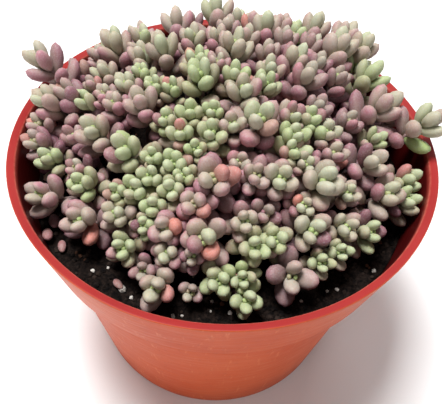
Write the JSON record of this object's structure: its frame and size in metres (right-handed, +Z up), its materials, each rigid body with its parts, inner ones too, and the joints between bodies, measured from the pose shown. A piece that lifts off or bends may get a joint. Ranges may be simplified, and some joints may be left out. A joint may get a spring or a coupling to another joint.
{
  "type": "potted succulent",
  "caption": "Round flared plastic pot with a stepped collar, filled with soil and planted with a low mound of branching stonecrop with plump paired leaves; stands on its flat base.",
  "frame": {"origin": "middle of the pot's flat underside", "axes": "+Z up along the pot's axis; the picture's camera looks along +Y"},
  "size_m": [0.1144, 0.114, 0.0987],
  "materials": {
    "pot": "matte",
    "soil": "rough",
    "green": "satin",
    "pale": "satin",
    "blush": "satin",
    "mauve": "satin"
  },
  "bodies": {
    "root": {"pot": "pot", "soil": "soil", "stem_01": "blush", "stem_02": "pale", "stem_03": "pale", "stem_04": "pale", "stem_05": "green", "stem_06": "pale", "stem_07": "blush", "stem_08": "green", "stem_09": "blush", "stem_10": "pale", "stem_11": "blush", "stem_12": "green", "stem_13": "pale", "stem_14": "green", "stem_15": "blush", "stem_16": "pale", "stem_17": "blush", "stem_18": "green", "stem_19": "green", "stem_20": "green", "stem_21": "green", "stem_22": "green", "stem_23": "pale", "stem_24": "pale", "stem_25": "blush", "stem_26": "green", "stem_27": "pale", "stem_28": "pale", "stem_29": "pale", "stem_30": "pale", "stem_31": "mauve", "stem_32": "green", "stem_33": "pale", "stem_34": "pale", "stem_35": "blush", "stem_36": "green", "stem_37": "pale", "stem_38": "mauve", "stem_39": "pale", "stem_40": "pale", "stem_41": "blush", "stem_42": "pale", "stem_43": "pale", "stem_44": "pale", "stem_45": "pale", "stem_46": "blush", "stem_47": "green", "stem_48": "green", "stem_49": "green", "stem_50": "blush", "stem_51": "pale", "stem_52": "mauve", "stem_53": "blush", "stem_54": "pale", "stem_55": "green"}
  },
  "joints": []
}
